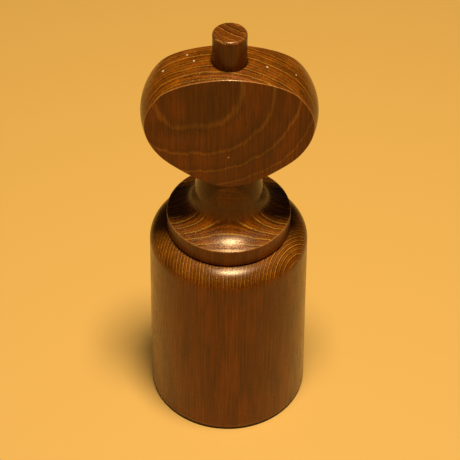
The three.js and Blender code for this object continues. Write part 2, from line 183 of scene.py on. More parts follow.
def respaced(curve, spacing):
    """The same curve with its points respaced; spacing(radius) is the wanted distance between them."""
    out = [curve[0]]
    for a, b in zip(curve[:-1], curve[1:]):
        if np.linalg.norm(b - out[-1]) >= spacing(b[0]):
            out.append(b)
    if np.linalg.norm(out[-1] - curve[-1]) > 1e-6:
        out[-1] = curve[-1]
    return [tuple(p) for p in out]


def rounded(corners, closed=False, steps=4):
    """A profile with its corners rounded. A corner is (radius, height) or (radius, height, fillet).

    Where there is room, a point is added before and after a fillet, to keep the shading flat beyond it.
    """
    count = len(corners)
    out = []
    for i, corner in enumerate(corners):
        fillet = corner[2] if len(corner) > 2 else 0
        here = np.array(corner[:2], float)
        if not fillet or (not closed and i in (0, count - 1)):
            out.append(tuple(here))
            continue
        before = np.array(corners[i - 1][:2], float) - here
        after = np.array(corners[(i + 1) % count][:2], float) - here
        long_before, long_after = np.linalg.norm(before), np.linalg.norm(after)
        before, after = before / long_before, after / long_after
        half = math.acos(np.clip(before @ after, -1, 1)) / 2
        reach = min(fillet / math.tan(half), 0.45 * long_before, 0.45 * long_after)
        centre = here + (before + after) / np.linalg.norm(before + after) * reach / math.cos(half)
        start, end = here + before * reach, here + after * reach
        if reach * 1.5 < 0.45 * long_before:
            out.append(tuple(here + before * reach * 1.5))
        radius = np.linalg.norm(start - centre)
        for k in range(steps + 1):
            along = start + (end - start) * k / steps - centre
            out.append(tuple(centre + along / np.linalg.norm(along) * radius))
        if reach * 1.5 < 0.45 * long_after:
            out.append(tuple(here + after * reach * 1.5))
    return out


# ---------- meshes ----------
def finish_mesh(obj, sharp_degrees=40):
    """Smooth shading, with real corners left sharp."""
    for polygon in obj.data.polygons:
        polygon.use_smooth = True
    obj.data.set_sharp_from_angle(angle=math.radians(sharp_degrees))
    return obj


def add_mesh(name, vertices, faces):
    """A new object from vertices in millimetres."""
    mesh = bpy.data.meshes.new(name)
    mesh.from_pydata([tuple(v) for v in np.asarray(vertices) * MM], [], faces)
    mesh.validate()
    obj = bpy.data.objects.new(name, mesh)
    bpy.context.scene.collection.objects.link(obj)
    return obj


def loft(name, levels, columns, closed=False, angles=None, reshape=None):
    """A skin through level after level of rings round the Z axis.

    A level is (radius, height); the radius may be a function of the angles. A level of radius 0 is a pole.
    angles may be a function of the level's index; reshape may move the finished vertices.
    """
    even = np.arange(columns) * 2 * math.pi / columns
    vertices, rings = [], []
    for index, (radius, height) in enumerate(levels):
        theta = angles(index) if angles else even
        reach = radius(theta) if callable(radius) else radius
        if np.isscalar(reach) and abs(reach) < 1e-9:
            rings.append([len(vertices)])
            vertices.append((0, 0, height))
            continue
        rings.append(range(len(vertices), len(vertices) + columns))
        x, y = reach * np.cos(theta), reach * np.sin(theta)
        vertices.extend(zip(x, y, np.full(columns, float(height))))
    faces = []
    pairs = list(zip(rings[:-1], rings[1:])) + ([(rings[-1], rings[0])] if closed else [])
    for lower, upper in pairs:
        for i in range(columns):
            j = (i + 1) % columns
            if len(lower) == 1:
                faces.append((lower[0], upper[j], upper[i]))
            elif len(upper) == 1:
                faces.append((lower[i], lower[j], upper[0]))
            else:
                faces.append((lower[i], lower[j], upper[j], upper[i]))
    vertices = np.array(vertices, float)
    if reshape:
        vertices = reshape(vertices)
    return finish_mesh(add_mesh(name, vertices, faces))


def square(half, sharpness=14):
    """Radius of a square with slightly rounded corners."""
    def reach(theta):
        across, along = np.abs(np.cos(theta)), np.abs(np.sin(theta))
        return half / (across**sharpness + along**sharpness) ** (1 / sharpness)
    return reach


def toothed(radius, depth, teeth, turn):
    """Radius of a saw-toothed section. Each tooth has a long slope and a short one."""
    def reach(theta):
        phase = ((theta - turn) * teeth / (2 * math.pi)) % 1
        return radius - depth * np.where(phase < 0.8, phase / 0.8, (1 - phase) / 0.2)
    return reach


def knurled(radius, depth, ridges):
    """Radius of a section with rounded ridges."""
    return lambda theta: radius - depth * (0.5 - 0.5 * np.cos(theta * ridges)) ** 1.4


def threaded(radius, depth, height, pitch):
    """Radius of a right-handed thread at a height."""
    def reach(theta):
        phase = (height / pitch - theta / (2 * math.pi)) % 1
        return radius - depth * (1 - np.abs(2 * phase - 1))
    return reach


def drill(obj, cutters):
    """Cuts the cutters out of obj and removes them."""
    for cutter in cutters:
        modifier = obj.modifiers.new("cut", "BOOLEAN")
        modifier.object = cutter
        modifier.solver = "EXACT"
    bake_modifiers(obj)
    for cutter in cutters:
        bpy.data.objects.remove(cutter)
    return finish_mesh(obj)


def bake_modifiers(obj):
    """Makes what the modifiers do part of the mesh."""
    depsgraph = bpy.context.evaluated_depsgraph_get()
    mesh = bpy.data.meshes.new_from_object(obj.evaluated_get(depsgraph))
    obj.modifiers.clear()
    obj.data = mesh


def round_bar(name, radius, bottom, top, columns, x=0.0, y=0.0):
    """A solid cylinder along Z."""
    bar = loft(name, [(0, bottom), (radius, bottom), (radius, top), (0, top)], columns)
    bar.data.transform(Matrix.Translation((x * MM, y * MM, 0)))
    return bar


def box_bar(name, width, depth, bottom, top):
    """A solid block centred on the Z axis."""
    x, y = width / 2, depth / 2
    corners = [(sx * x, sy * y, z) for z in (bottom, top) for sx, sy in ((-1, -1), (1, -1), (1, 1), (-1, 1))]
    sides = [(i, (i + 1) % 4, (i + 1) % 4 + 4, i + 4) for i in range(4)]
    return add_mesh(name, corners, [(3, 2, 1, 0), (4, 5, 6, 7), *sides])


def three_round(radius):
    """The places of three screws round the Z axis."""
    return [(radius * math.cos(a), radius * math.sin(a)) for a in map(math.radians, (90, 210, 330))]


# ---------- materials ----------
BODY_PITH = (42, -29)  # X and Y of the line that the growth rings of a piece run round
PEG_PITH = (18, 22)
DISH_CENTRE = (12.0, 155.0)  # how far left of the axis the head's growth layers are centred, and how high
DISH_DEPTH = 170.0  # the larger, the flatter the layers
FIRST_LAYER = 8.1  # shifts the head's layers from front to back
# the pale ring line, the plain wood and the dark wood
WOOD_TONES = ((0.36, 0.148, 0.012), (0.147, 0.031, 0.0008), (0.045, 0.009, 0.0006))
PEG_TONES = ((0.19, 0.060, 0.007), (0.090, 0.018, 0.0010), (0.030, 0.006, 0.0005))
TOP_LIGHT_TINT = (1.15, 1.42, 1.4)  # painted light from above: how much brighter the up-facing end grain is painted in red, green and blue
# the same painted light from above, stronger, for the peg's top
PEG_TOP_LIGHT_TINT = (1.55, 2.0, 2.0)
# pale tone of worn edges, also used to paint highlight lines along the head's edges and the body's foot
WORN_AND_HIGHLIGHT_TONE = (0.55, 0.24, 0.05)
OIL_TINT = (1.0, 0.76, 0.48, 1)  # colour of the oiled surface's reflection
FLECK_TONE = (0.70, 0.52, 0.25)
# pale specks on the grip: where, and the radius
HEAD_FLECKS = [
    ((-14.4, 5.9, 156.5), 0.46), ((-12.0, 1.5, 157.5), 0.46), ((-22.5, 1.1, 153.4), 0.56),
    ((12.6, -1.3, 157.4), 0.42), ((22.4, -0.6, 153.4), 0.36), ((-0.2, -10.2, 124.4), 0.38),
]
# dark patches on the grip's front: where, one over the size along X, Y and Z, and how dark
HEAD_PATCHES = [
    ((-2.0, -10.5, 149.0), (0.11, 0.2, 0.10), 0.36),
    ((-17.0, -10.5, 137.5), (0.08, 0.2, 0.22), 0.50),
    ((12.0, -10.5, 139.0), (0.12, 0.2, 0.12), 0.15),
]


class Nodes:
    """A material's node tree with short calls: values and links go in by the input's name."""

    def __init__(self, name):
        self.material = bpy.data.materials.new(name)
        self.material.use_nodes = True
        self.tree = self.material.node_tree
        self.shader = self.tree.nodes["Principled BSDF"]

    def add(self, kind, inputs=None, **settings):
        node = self.tree.nodes.new(kind)
        for key, value in settings.items():
            setattr(node, key, value)
        for key, value in (inputs or {}).items():
            self.put(node, key, value)
        return node

    def put(self, node, key, value):
        socket = node.inputs[key]
        if isinstance(value, bpy.types.NodeSocket):
            self.tree.links.new(value, socket)
        else:
            socket.default_value = value

    def math(self, operation, a, b=0.0):
        return self.add("ShaderNodeMath", {0: a, 1: b}, operation=operation).outputs[0]

    def plus(self, a, b):
        return self.math("ADD", a, b)

    def times(self, a, b):
        return self.math("MULTIPLY", a, b)

    def hypot(self, a, b):
        """Square root of the sum of two squares."""
        return self.math("SQRT", self.plus(self.times(a, a), self.times(b, b)))

    def scaled(self, vector, factors):
        return self.add("ShaderNodeVectorMath", {0: vector, 1: factors}, operation="MULTIPLY").outputs[0]

    def noise(self, vector, factors, detail=2.0, roughness=0.5):
        """Noise from 0 to 1; factors are its frequencies in X, Y and Z."""
        stretched = self.scaled(vector, factors)
        inputs = {"Vector": stretched, "Scale": 1.0, "Detail": detail, "Roughness": roughness}
        return self.add("ShaderNodeTexNoise", inputs).outputs["Fac"]

    def steps(self, value, low_in, high_in, low_out=0.0, high_out=1.0):
        """Smooth step of a value from one range to another. It falls where low_in is the larger one."""
        inputs = {"Value": value, 1: low_in, 2: high_in, 3: low_out, 4: high_out}
        return self.add("ShaderNodeMapRange", inputs, interpolation_type="SMOOTHSTEP").outputs["Result"]

    def ramp(self, value, stops):
        """Colour by position along a list of (position, colour)."""
        node = self.add("ShaderNodeValToRGB", {"Fac": value})
        elements = node.color_ramp.elements
        while len(elements) < len(stops):
            elements.new(0.5)
        for element, (position, colour) in zip(elements, stops):
            element.position = position
            element.color = (*colour, 1)
        return node.outputs["Color"]

    def mix(self, factor, a, b):
        """From colour a to colour b as the factor goes from 0 to 1."""
        node = self.add("ShaderNodeMix", data_type="RGBA")
        self.put(node, "Factor", factor)
        for key, value in ((6, a), (7, b)):
            self.put(node, key, value if isinstance(value, bpy.types.NodeSocket) else (*value, 1))
        return node.outputs[2]

    def shaded(self, colour, factor):
        """A colour made brighter or darker by a factor."""
        node = self.add("ShaderNodeVectorMath", {0: colour, "Scale": factor}, operation="SCALE")
        return node.outputs[0]

    def object_mm(self):
        """Object coordinates in millimetres."""
        spot = self.add("ShaderNodeTexCoord").outputs["Object"]
        return self.add("ShaderNodeVectorMath", {0: spot, "Scale": 1 / MM}, operation="SCALE").outputs[0]

    def axes(self, vector):
        """The X, Y and Z of a vector."""
        return self.add("ShaderNodeSeparateXYZ", {0: vector}).outputs

    def facing(self):
        """How far the surface faces along X, Y and Z, each from 0 to 1."""
        normal = self.add("ShaderNodeTexCoord").outputs["Normal"]
        return self.axes(self.add("ShaderNodeVectorMath", {0: normal}, operation="ABSOLUTE").outputs[0])

    def bump(self, height, strength, distance_mm):
        inputs = {"Strength": strength, "Distance": distance_mm * MM, "Height": height}
        return self.add("ShaderNodeBump", inputs).outputs[0]


def round_pith(pith):
    """Growth rings that are cylinders round a pith line along Z."""
    return lambda n, x, y, z: n.hypot(n.plus(x, -pith[0]), n.plus(y, -pith[1]))


def head_rings(n, x, y, z):
    """Growth layers across the head's depth, dished round the grip's upper left, flatter below the neck."""
    share = n.steps(z, 98, 112, 0.15, 1.0)
    across = n.plus(x, n.times(share, DISH_CENTRE[0]))
    up = n.plus(z, -DISH_CENTRE[1])
    dish = n.times(share, n.times(n.plus(n.times(across, across), n.times(up, up)), 1 / DISH_DEPTH))
    return n.plus(n.times(y, n.steps(z, 98, 112, 1.1, 1.0)), n.plus(dish, FIRST_LAYER))


def wood(name, rings, spacing, tones, wave, lines, top_light_tint=TOP_LIGHT_TINT, worn_and_highlight=None, shade_and_patches=None, flecks=()):
    """Dark oiled wood with pale ring lines, fibres and pores along Z.

    rings says how many mm a point lies from the pith, and spacing is from one ring to the next.
    wave is how far the rings stray, in mm. lines gives the lines' strength where the surface runs along the
    fibres and on the end grain. worn gives a mask of worn edges, painted paler, which also paints highlight
    lines;
    dirt gives one of painted shade and, on the head, dark patches. Surfaces facing up are painted brighter,
    as painted light from above.
    """
    n = Nodes(name)
    spot = n.object_mm()
    x, y, z = n.axes(spot)
    pale, plain, dark = tones
    end_grain = n.steps(n.facing()[2], 0.12, 0.7)
    slow = n.noise(spot, (0.06, 0.06, 0.015))
    ragged = n.noise(spot, (0.55, 0.55, 0.06), 3.0, 0.66)
    stray = n.plus(n.times(n.plus(slow, -0.5), 4.0 * wave), n.times(n.plus(ragged, -0.5), 2.2 * wave))
    layers = n.times(n.plus(rings(n, x, y, z), stray), 1 / spacing)
    # the rings differ in width and strength
    ring_number = n.add("ShaderNodeCombineXYZ", {0: layers}).outputs[0]
    layers = n.plus(layers, n.times(n.plus(n.noise(ring_number, (0.55, 1, 1)), -0.5), 0.25))
    phase = n.math("FRACT", layers)
    between = tuple((a + b) / 2 for a, b in zip(plain, dark))
    lined = n.ramp(phase, [
        (0.0, pale), (0.03, pale), (0.10, between), (0.24, plain),
        (0.60, plain), (0.84, dark), (0.92, between), (0.98, pale),
    ])
    strength = n.steps(n.noise(ring_number, (0.9, 1, 1)), 0.3, 0.6, 0.55, 1.0)
    on_side, on_end = lines(n, z)
    strength = n.times(strength, n.plus(n.times(end_grain, n.math("SUBTRACT", on_end, on_side)), on_side))
    colour = n.mix(strength, plain, lined)
    # fibres, some of them darker, and the slow change of tone over the block
    fibre = n.noise(spot, (2.1, 2.1, 0.035), 4.0, 0.68)
    smoke = n.noise(spot, (0.16, 0.16, 0.03), 3.0, 0.6)
    bands = n.times(end_grain, n.steps(n.noise(ring_number, (3.4, 1, 1), 2.0), 0.32, 0.68, -0.34, 0.50))
    fibre_tone = n.steps(fibre, 0.30, 0.70, 0.62, 1.38)
    smoke_tone = n.steps(smoke, 0.32, 0.68, 0.72, 1.25)
    tone = n.plus(n.times(fibre_tone, smoke_tone), -1.0)
    tone = n.plus(n.times(tone, n.steps(end_grain, 0.0, 1.0, 1.05, 1.0)), n.plus(bands, 1.0))
    colour = n.shaded(colour, tone)
    # painted light from above: surfaces facing up are painted brighter and more golden
    colour = n.mix(end_grain, colour, n.scaled(colour, top_light_tint))
    # open pores are short dark dashes along the grain
    pores = n.steps(n.noise(spot, (3.6, 3.6, 0.16), 1.0), 0.60, 0.70)
    pore_strength = n.times(pores, n.steps(end_grain, 0.0, 1.0, 0.30, 0.60))
    colour = n.mix(pore_strength, colour, tuple(c * 0.4 for c in dark))
    # painted shade, and on the head also the wood's dark patches
    if shade_and_patches:
        colour = n.mix(shade_and_patches(n, x, y, z, fibre), colour, tuple(c * 0.3 for c in dark))
    # worn edges painted paler; along the head's edges and the body's foot this also paints a highlight line
    if worn_and_highlight:
        worn_and_highlight_strength = n.times(worn_and_highlight(n, x, y, z), n.steps(fibre, 0.3, 0.6, 0.35, 0.8))
        colour = n.mix(worn_and_highlight_strength, colour, WORN_AND_HIGHLIGHT_TONE)
    for centre, size in flecks:
        away = n.add("ShaderNodeVectorMath", {0: spot, 1: centre}, operation="DISTANCE").outputs["Value"]
        colour = n.mix(n.steps(away, size, size * 0.55), colour, FLECK_TONE)
    n.put(n.shader, "Base Color", colour)
    # satin finish, duller in the pores and where hands have rubbed it
    rubbed = n.noise(spot, (0.10, 0.10, 0.10), 4.0, 0.6)
    n.put(n.shader, "Roughness", n.plus(n.steps(rubbed, 0.3, 0.7, 0.21, 0.28), n.times(pores, 0.15)))
    n.put(n.shader, "Specular IOR Level", 0.50)
    n.put(n.shader, "Specular Tint", OIL_TINT)
    relief = n.plus(n.times(fibre, 0.6), n.plus(n.times(pores, -1.0), n.times(phase, 0.12)))
    n.put(n.shader, "Normal", n.bump(relief, 0.5, 0.05))
    return n.material


def head_wear_and_highlight(n, x, y, z):
    """Worn edges and painted highlight lines: the rims of the two flats and the flange's upper edge."""
    thinner = n.plus(n.times(z, FLAT_TAPER), -FLAT_HALF_THICKNESS - FLAT_TAPER * NECK_TOP)
    proud = n.plus(n.math("ABSOLUTE", y), thinner)
    rim = n.times(n.steps(proud, -0.55, -0.10), n.steps(n.facing()[1], 0.97, 0.75))
    rim = n.times(rim, n.steps(z, NECK_TOP + 4, NECK_TOP + 8))
    edge = n.steps(n.hypot(x, y), FLANGE_RADIUS - 0.5, FLANGE_RADIUS - 0.15)
    flange = n.times(edge, n.steps(z, FLANGE_TOP - 0.6, FLANGE_TOP - 0.2))
    flange = n.times(flange, n.steps(z, FLANGE_TOP + 3, FLANGE_TOP + 2))
    return n.plus(n.times(rim, 0.75), n.times(flange, 0.5))


def body_wear_and_highlight(n, x, y, z):
    """Worn edge round the body's foot, painted paler, which also paints a highlight line above the chamfer.
    """
    return n.times(n.times(n.steps(z, 1.4, 1.8), n.steps(z, 2.6, 1.9)), 0.25)


def body_foot_shade(n, x, y, z, fibre):
    """Painted shade on the foot, darker towards its bottom edge."""
    return n.times(n.steps(z, 1.6, 1.0), 0.85)


def head_shade_and_patches(n, x, y, z, fibre):
    """Painted shade in the corner round the peg and on the neck, and the dark streaky patches on the grip's
    front.
    """
    # painted shade in the corner round the peg
    corner = n.steps(n.hypot(x, y), PEG_RADIUS + 0.9, PEG_RADIUS)
    peg_corner_shade = n.times(corner, n.steps(z, KNOB_TOP - 4, KNOB_TOP - 3))
    spot = n.add("ShaderNodeCombineXYZ", {0: x, 1: y, 2: z}).outputs[0]
    ragged = n.times(n.plus(n.noise(spot, (0.25, 0.25, 0.12), 3.0), -0.5), 1.2)
    # painted shade on the neck, below the grip
    neck = n.times(n.steps(z, 93, 99), n.steps(z, NECK_TOP + 2, NECK_TOP - 2))
    # painted shade so far; the wood's dark patches are added to it below
    patches = n.plus(n.times(peg_corner_shade, 0.7), n.times(neck, 0.55))
    for centre, shrink, darkness in HEAD_PATCHES:
        offset = n.add("ShaderNodeVectorMath", {0: spot, 1: centre}, operation="SUBTRACT").outputs[0]
        offset = n.scaled(offset, shrink)
        away = n.add("ShaderNodeVectorMath", {0: offset}, operation="LENGTH").outputs["Value"]
        patch = n.times(n.steps(n.plus(away, ragged), 1.2, 0.3), darkness)
        patches = n.math("MAXIMUM", patches, n.times(patch, n.steps(fibre, 0.62, 0.42, 0.45, 1.0)))
    return patches


def head_lines(n, z):
    """Ring lines of the head: faint on its sides and fainter below the neck, soft on top of the grip."""
    return n.steps(z, 96, 112, 0.05, 0.42), n.steps(z, 120, 145, 0.8, 0.50)


def even_lines(side):
    """Ring lines that are equally strong all the way up."""
    return lambda n, z: (side, 1.0)


def peg_wear(n, x, y, z):
    """Worn edge round the peg's top."""
    edge = n.steps(n.hypot(x, y), PEG_RADIUS - 1.0, PEG_RADIUS - 0.5)
    return n.times(n.times(edge, n.steps(z, PEG_TOP - 1.0, PEG_TOP - 0.5)), 0.15)


def metal(name, colour, roughness, marks, wear=0.5):
    """Bare metal with fine working marks, stains and duller patches.

    marks is "turned" for marks that run round the Z axis, or the frequencies of straight marks in X, Y and Z.
    """
    n = Nodes(name)
    spot = n.object_mm()
    if marks == "turned":
        x, y, z = n.axes(spot)
        lathe = n.add("ShaderNodeCombineXYZ", {0: n.hypot(x, y), 2: z}).outputs[0]
        scratches = n.noise(lathe, (7.0, 1.0, 7.0), 4.0, 0.7)
    else:
        scratches = n.noise(spot, marks, 4.0, 0.7)
    stain = n.noise(spot, (0.25, 0.25, 0.25), 5.0, 0.65)
    specks = n.steps(n.noise(spot, (2.2, 2.2, 2.2), 2.0), 0.64, 0.74)
    dull = tuple(c * f for c, f in zip(colour, (0.60, 0.53, 0.46)))
    tone = n.mix(n.steps(stain, 0.42, 0.75, 0.0, wear), colour, dull)
    tone = n.mix(n.times(specks, 0.5 * wear), tone, tuple(c * 0.35 for c in dull))
    tone = n.shaded(tone, n.steps(scratches, 0.3, 0.7, 0.86, 1.10))
    n.put(n.shader, "Base Color", tone)
    n.put(n.shader, "Metallic", 1.0)
    worked = n.times(n.plus(scratches, stain), 0.5)
    n.put(n.shader, "Roughness", n.steps(worked, 0.3, 0.7, roughness - 0.08, roughness + 0.16))
    n.put(n.shader, "Normal", n.bump(scratches, 0.3, 0.02))
    return n.material


MATERIALS = {
    "body_wood": wood(
        "body_wood", round_pith(BODY_PITH), 1.25, WOOD_TONES, 0.12, even_lines(0.3),
        worn_and_highlight=body_wear_and_highlight, shade_and_patches=body_foot_shade,
    ),
    "head_wood": wood(
        "head_wood", head_rings, 3.0, WOOD_TONES, 0.42, head_lines,
        worn_and_highlight=head_wear_and_highlight, shade_and_patches=head_shade_and_patches, flecks=HEAD_FLECKS,
    ),
    "peg_wood": wood(
        "peg_wood", round_pith(PEG_PITH), 2.6, PEG_TONES, 0.8, even_lines(0.35),
        top_light_tint=PEG_TOP_LIGHT_TINT, worn_and_highlight=peg_wear,
    ),
    "bright_steel": metal("bright_steel", (0.62, 0.62, 0.62), 0.26, "turned"),
    "drawn_steel": metal("drawn_steel", (0.62, 0.62, 0.62), 0.26, (5.0, 5.0, 0.15)),
    "plate_steel": metal("plate_steel", (0.50, 0.50, 0.50), 0.34, (0.15, 4.0, 0.15)),
    "burr_steel": metal("burr_steel", (0.20, 0.20, 0.21), 0.42, "turned", 0.7),
    "spring_steel": metal("spring_steel", (0.38, 0.38, 0.40), 0.25, (0.3, 0.3, 6.0)),
    "screw_steel": metal("screw_steel", (0.66, 0.65, 0.62), 0.24, "turned"),
    "brass": metal("brass", (0.60, 0.42, 0.18), 0.28, "turned", 0.8),
}


def settle(obj, node, material):
    """Puts a finished piece on its node's body, in place of the CAD node."""
    body = next(b for b, members in frame["record"]["behaviour"]["bodies"].items() if node in members)
    obj.data.materials.clear()
    obj.data.materials.append(MATERIALS[material])
    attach(obj, body)
    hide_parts(node)


# ---------- wooden body ----------
def pilot_holes(circle, bottom, top):
    """Cutters for three plain screw holes."""
    return [round_bar("hole", SCREW_HOLE_RADIUS, bottom, top, 32, x, y) for x, y in three_round(circle)]


def make_body():
    side_height = BODY_TOP - SHOULDER_HEIGHT - FOOT_CHAMFER
    side = []
    for share in np.linspace(0.03, 0.98, 24):
        radius = FOOT_RADIUS + (SHOULDER_SIDE_RADIUS - FOOT_RADIUS) * share
        side.append((radius, FOOT_CHAMFER + side_height * share))
    shoulder = []
    for angle in np.linspace(0, math.pi / 2, 28):
        radius = SHOULDER_SIDE_RADIUS - SHOULDER_DEPTH * (1 - math.cos(angle))
        shoulder.append((radius, BODY_TOP - SHOULDER_HEIGHT * (1 - math.sin(angle))))
    bore = GRINDER_RADIUS + GAP
    corners = [
        (FOOT_RADIUS - FOOT_CHAMFER, 0, 0.4),
        (FOOT_RADIUS, FOOT_CHAMFER, 0.8),
        *side,
        *shoulder,
        (CHAMBER_RADIUS, BODY_TOP, 0.6),
        (CHAMBER_RADIUS, LEDGE_HEIGHT, 0.2),
        (bore, LEDGE_HEIGHT, 0.2),
        (bore, RECESS_DEPTH, 0.3),
        (RECESS_RADIUS, RECESS_DEPTH, 0.2),
        (RECESS_RADIUS, 0, 0.6),
    ]
    body = loft("turned_body", rounded(corners, closed=True), 256, closed=True)
    body = drill(body, pilot_holes(FOOT_SCREW_CIRCLE, RECESS_DEPTH - 1, RECESS_DEPTH + SCREW_LENGTH))
    settle(body, "mill_body", "body_wood")


# ---------- wooden head ----------
HEAD_COLUMNS = 288
EDGE_SHARE = 0.62  # share of a quarter turn's columns that lie on the rim of the grip
EDGE_SOFTNESS = 0.35  # how far the rounding of a flat's edge reaches, across the grip's thickness
MOUTH_RADIUS = PEG_RADIUS + 0.06  # the peg sits snugly


def flat_half(height):
    """Half the grip's thickness at a height."""
    return FLAT_HALF_THICKNESS - FLAT_TAPER * (height - NECK_TOP)


def head_levels():
    """The head's outline from the socket for the ferrule, round the outside, down into the salt well."""
    spigot = CHAMBER_RADIUS - GAP
    neck = respaced(catmull_rom(NECK_OUTLINE, 60), lambda radius: 0.5)
    knob = respaced(catmull_rom(KNOB_OUTLINE, 120), lambda radius: 0.22 if radius < 14 else 0.6)
    knob = [p for p in knob[1:] if p[0] > PEG_RADIUS + 0.5 or p[1] < 140]
    under = rounded([
        (0, SOCKET_TOP),
        (SOCKET_RADIUS, SOCKET_TOP, 0.3),
        (SOCKET_RADIUS, SPIGOT_BOTTOM, 0.4),
        (spigot, SPIGOT_BOTTOM, 0.8),
        (spigot, FLANGE_BOTTOM, 0.2),
        (FLANGE_RADIUS, FLANGE_BOTTOM, 0.4),
        (FLANGE_RADIUS, FLANGE_TOP, 0.35),
        (NECK_OUTLINE[0][0] - 0.8, FLANGE_TOP + 0.4),
    ])
    top = rounded([
        knob[-1],
        (MOUTH_RADIUS, knob[-1][1] + 0.1, 0.12),
        (MOUTH_RADIUS, PEG_BOTTOM - GAP, 0.2),
        (WELL_RADIUS, PEG_BOTTOM - GAP, 0.3),
        (WELL_RADIUS, WELL_BOTTOM, 1.5),
        (0, WELL_BOTTOM),
    ])
    neck = [p for p in neck if p[0] < NECK_OUTLINE[0][0] - 1.0 or p[1] > 95]
    return under + neck + knob + top[1:]


def make_head():
    levels = head_levels()
    quarter = HEAD_COLUMNS // 4
    u = np.arange(quarter) / quarter

    def angles(index):
        """Columns of a level: on the grip, one column follows the edge of the flat."""
        radius, height = levels[index]
        even = u * math.pi / 2
        if height <= NECK_TOP or radius < 8:
            first = even
        else:
            edge = math.asin(min(flat_half(height) / max(radius, 1e-6), math.sin(math.radians(70))))
            rim = edge * u / EDGE_SHARE
            face = edge + (math.pi / 2 - edge) * ((u - EDGE_SHARE) / (1 - EDGE_SHARE)).clip(0) ** 1.4
            blend = min(max((radius - 11.0) / 4.0, 0), 1)
            first = even + (np.where(u < EDGE_SHARE, rim, face) - even) * blend
        mirrored = math.pi - np.append(first, math.pi / 2)[:0:-1]
        half = np.concatenate([first, mirrored])
        return np.concatenate([half, half + math.pi])

    def saw_flats(vertices):
        """Moves what stands proud of the two flats back onto them, with a softened edge."""
        y, z = vertices[:, 1], vertices[:, 2]
        outside = np.hypot(vertices[:, 0], y) > PEG_RADIUS + 0.4
        proud = np.abs(y) - flat_half(z)
        soft = (proud + EDGE_SOFTNESS) ** 2 / (4 * EDGE_SOFTNESS)
        back = np.where(proud < -EDGE_SOFTNESS, 0, np.where(proud > EDGE_SOFTNESS, proud, soft))
        above = np.clip((z - NECK_TOP) / 0.4, 0, 1)
        vertices[:, 1] -= np.sign(y) * back * above * outside
        return vertices

    head = loft("turned_head", levels, HEAD_COLUMNS, angles=angles, reshape=saw_flats)
    seat = low("head_screw_1").z + SCREW_HEAD_HEIGHT
    head = drill(head, pilot_holes(HEAD_SCREW_CIRCLE, SPIGOT_BOTTOM - 1, seat + SCREW_LENGTH + 1))
    settle(head, "head", "head_wood")


def make_peg():
    corners = [
        (0, PEG_BOTTOM),
        (PEG_RADIUS, PEG_BOTTOM, 0.6),
        (PEG_RADIUS, PEG_TOP - 6),
        (PEG_RADIUS, PEG_TOP, PEG_TOP_ROUND),
        (0, PEG_TOP),
    ]
    settle(loft("wooden_peg", rounded(corners, steps=8), 128), "stopper_peg", "peg_wood")


# ---------- metal pieces ----------
def turned_ring(name, corners, columns):
    """A ring turned to a closed outline of corners."""
    return loft(name, rounded(corners, closed=True), columns, closed=True)


def square_bored(name, outside, columns=96):
    """A turned piece with a square hole for the drive shaft right through it.

    outside lists its outer corners, from the lower face to the upper one.
    """
    outer = rounded(outside)
    bottom, top = outer[0][1], outer[-1][1]
    ease = 0.15
    hole, eased_hole = square(SHAFT_HOLE_HALF), square(SHAFT_HOLE_HALF + ease)
    levels = [(eased_hole, bottom), *outer, (eased_hole, top), (hole, top - ease), (hole, bottom + ease)]
    return loft(name, levels, columns, closed=True)


def eased_holes(bottom, top, circle):
    """Cutters for three screw holes with a small chamfer at both faces of a plate."""
    radius = SCREW_HOLE_RADIUS
    ease = 0.25
    wide = radius + ease + 1
    levels = [
        (0, bottom - 1), (wide, bottom - 1), (radius, bottom + ease),
        (radius, top - ease), (wide, top + 1), (0, top + 1),
    ]
    cutters = []
    for x, y in three_round(circle):
        cutter = loft("hole", levels, 32)
        cutter.data.transform(Matrix.Translation((x * MM, y * MM, 0)))
        cutters.append(cutter)
    return cutters


def make_screws(name, slot_turns):
    """Three slotted pan-head wood screws pointing up; slot_turns are the angles of their slots in degrees."""
    for number, slot_turn in enumerate(slot_turns, 1):
        node = f"{name}_{number}"
        bottom, tip = low(node).z, high(node).z
        x, y = ((low(node) + high(node)) / 2).xy
        seat = bottom + SCREW_HEAD_HEIGHT
        bevel = 0.65
        head = rounded([
            (0, bottom),
            (SCREW_HEAD_RADIUS - bevel, bottom, 0.6),
            (SCREW_HEAD_RADIUS, bottom + bevel, 0.5),
            (SCREW_HEAD_RADIUS, seat, 0.1),
            (SCREW_SHANK_RADIUS, seat, 0.1),
            (SCREW_SHANK_RADIUS, seat + 1),
        ])
        shank = []
        for height in np.arange(seat + 1.1, tip - 0.1, SCREW_PITCH / 8):
            share = min(1.0, (tip - height) / SCREW_TIP_LENGTH)
            radius, depth = SCREW_SHANK_RADIUS * share, SCREW_THREAD_DEPTH * share
            shank.append((threaded(radius, depth, height, SCREW_PITCH), height))
        screw = loft(node + "_wood_screw", [*head, *shank, (0, tip)], 40)
        slot_length, slot_top = 2 * SCREW_HEAD_RADIUS + 1, bottom + SCREW_SLOT_DEPTH
        slot = box_bar("slot", slot_length, SCREW_SLOT_WIDTH, bottom - 1, slot_top)
        slot.data.transform(Matrix.Rotation(math.radians(slot_turn), 4, "Z"))
        screw = drill(screw, [slot])
        screw.data.transform(Matrix.Translation((x * MM, y * MM, 0)))
        settle(screw, node, "screw_steel")


